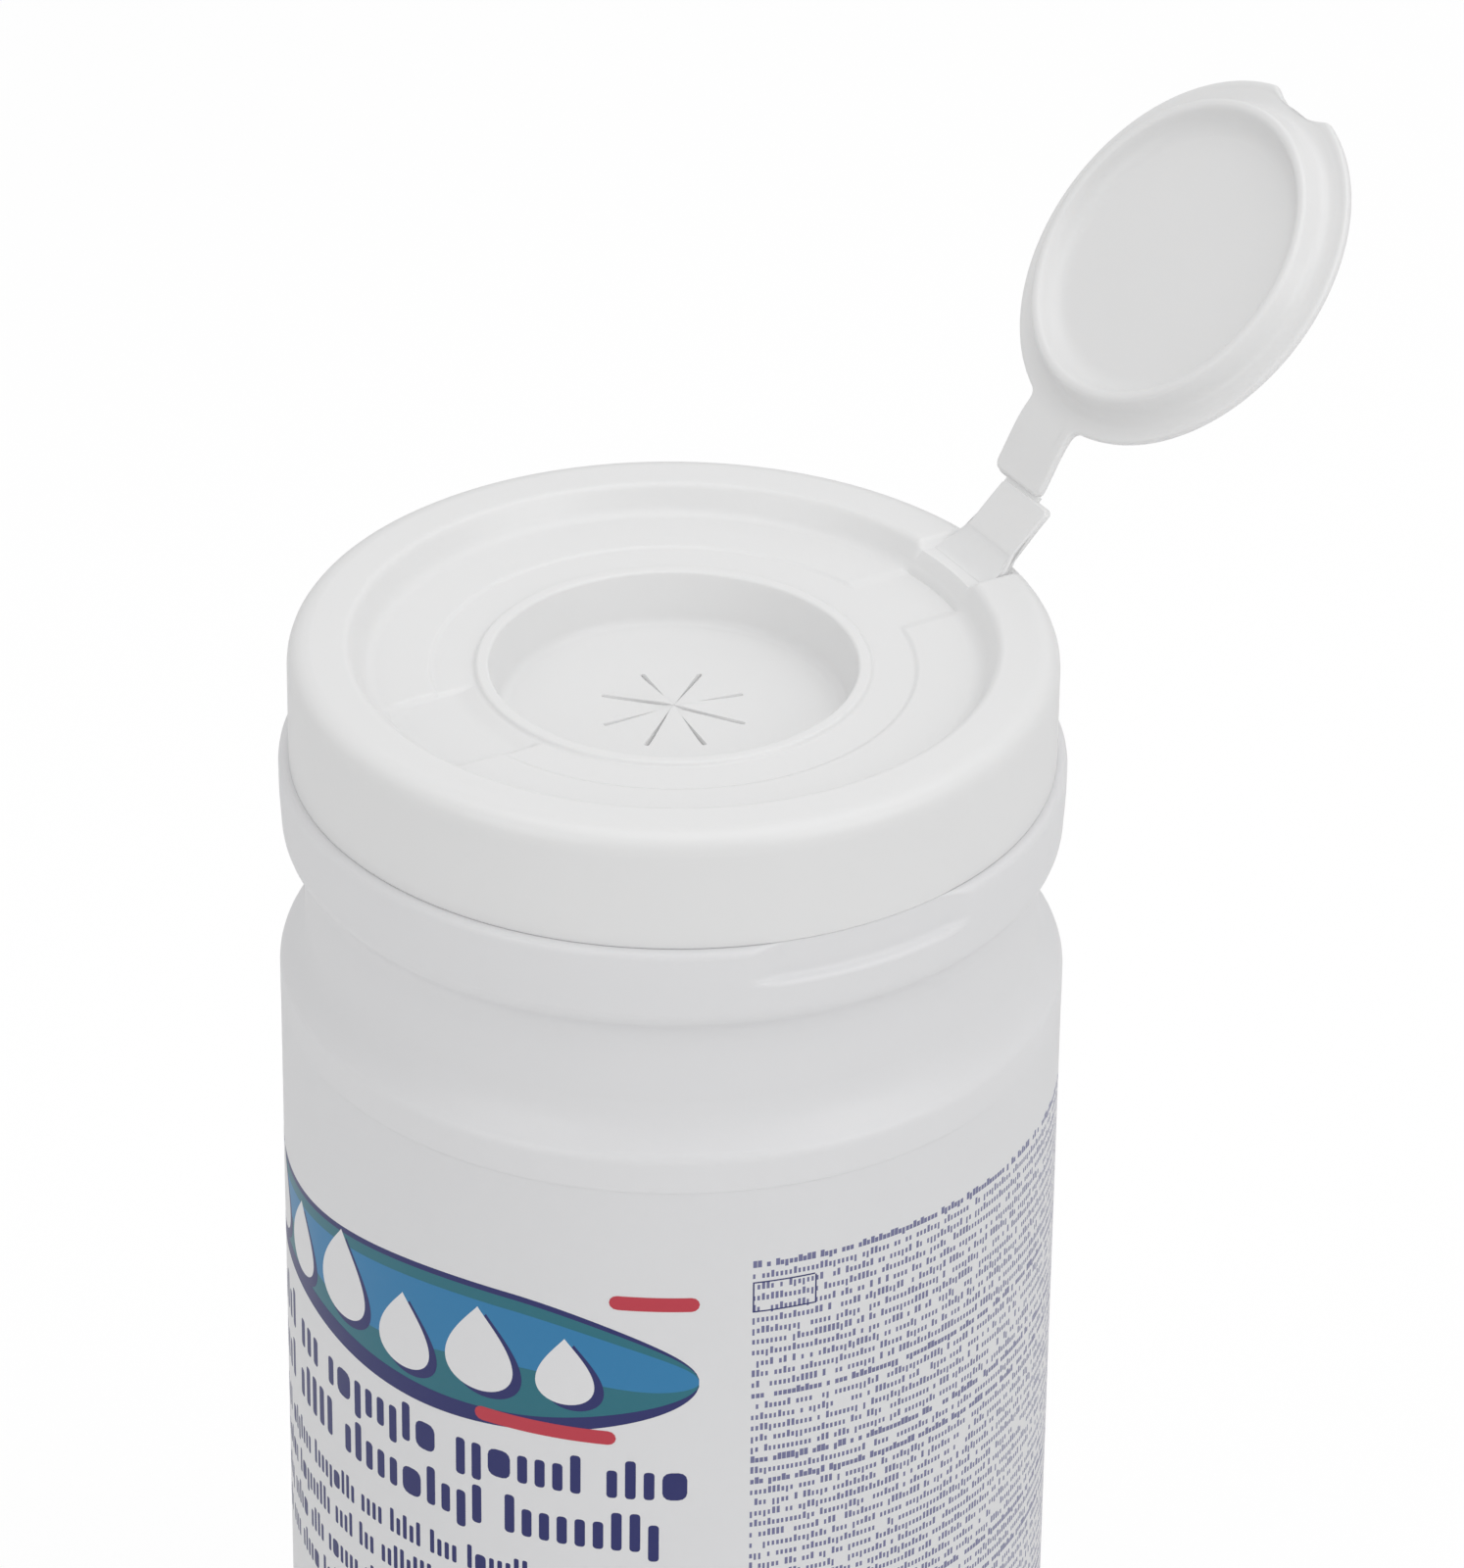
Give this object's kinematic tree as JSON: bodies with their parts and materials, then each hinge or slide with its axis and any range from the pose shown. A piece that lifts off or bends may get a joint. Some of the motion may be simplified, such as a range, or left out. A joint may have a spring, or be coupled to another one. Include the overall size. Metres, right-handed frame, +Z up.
{
  "type": "disinfectant wipes canister",
  "caption": "Round plastic wipes canister with a push-on dispensing cap, a star slit in a sunk well, a flip lid on a folding strap, and a wound roll of moist wipes inside.",
  "frame": {"origin": "centre of the flat base, on the canister's axis", "axes": "+Z up along the canister's axis, +Y towards the strap that carries the lid, +X towards the pry notch"},
  "size_m": [0.106, 0.1505, 0.2809],
  "materials": {
    "canister": "blow moulded HDPE, satin",
    "label": "printed film, soft sheen",
    "wipes": "moist nonwoven",
    "cap": "injection moulded polypropylene, satin"
  },
  "bodies": {
    "canister": {"canister": "canister", "label": "label", "wipes_roll": "wipes"},
    "cap": {"cap": "cap"},
    "strap": {"hinge_strap": "cap"},
    "lid": {"flip_lid": "cap"}
  },
  "joints": [
    {"name": "cap_lift", "type": "slide", "parent": "canister", "child": "cap", "axis": [0, 0, 1], "range_m": [0, 0.05]},
    {"name": "strap_fold", "type": "hinge", "parent": "cap", "child": "strap", "pos_m": [0, 0.048, 0.2245], "axis": [1, 0, 0], "range_deg": [-47, 133]},
    {"name": "lid_hinge", "type": "hinge", "parent": "strap", "child": "lid", "pos_m": [0, 0.05553, 0.23184], "axis": [1, 0, 0], "range_deg": [-80, 0]}
  ]
}
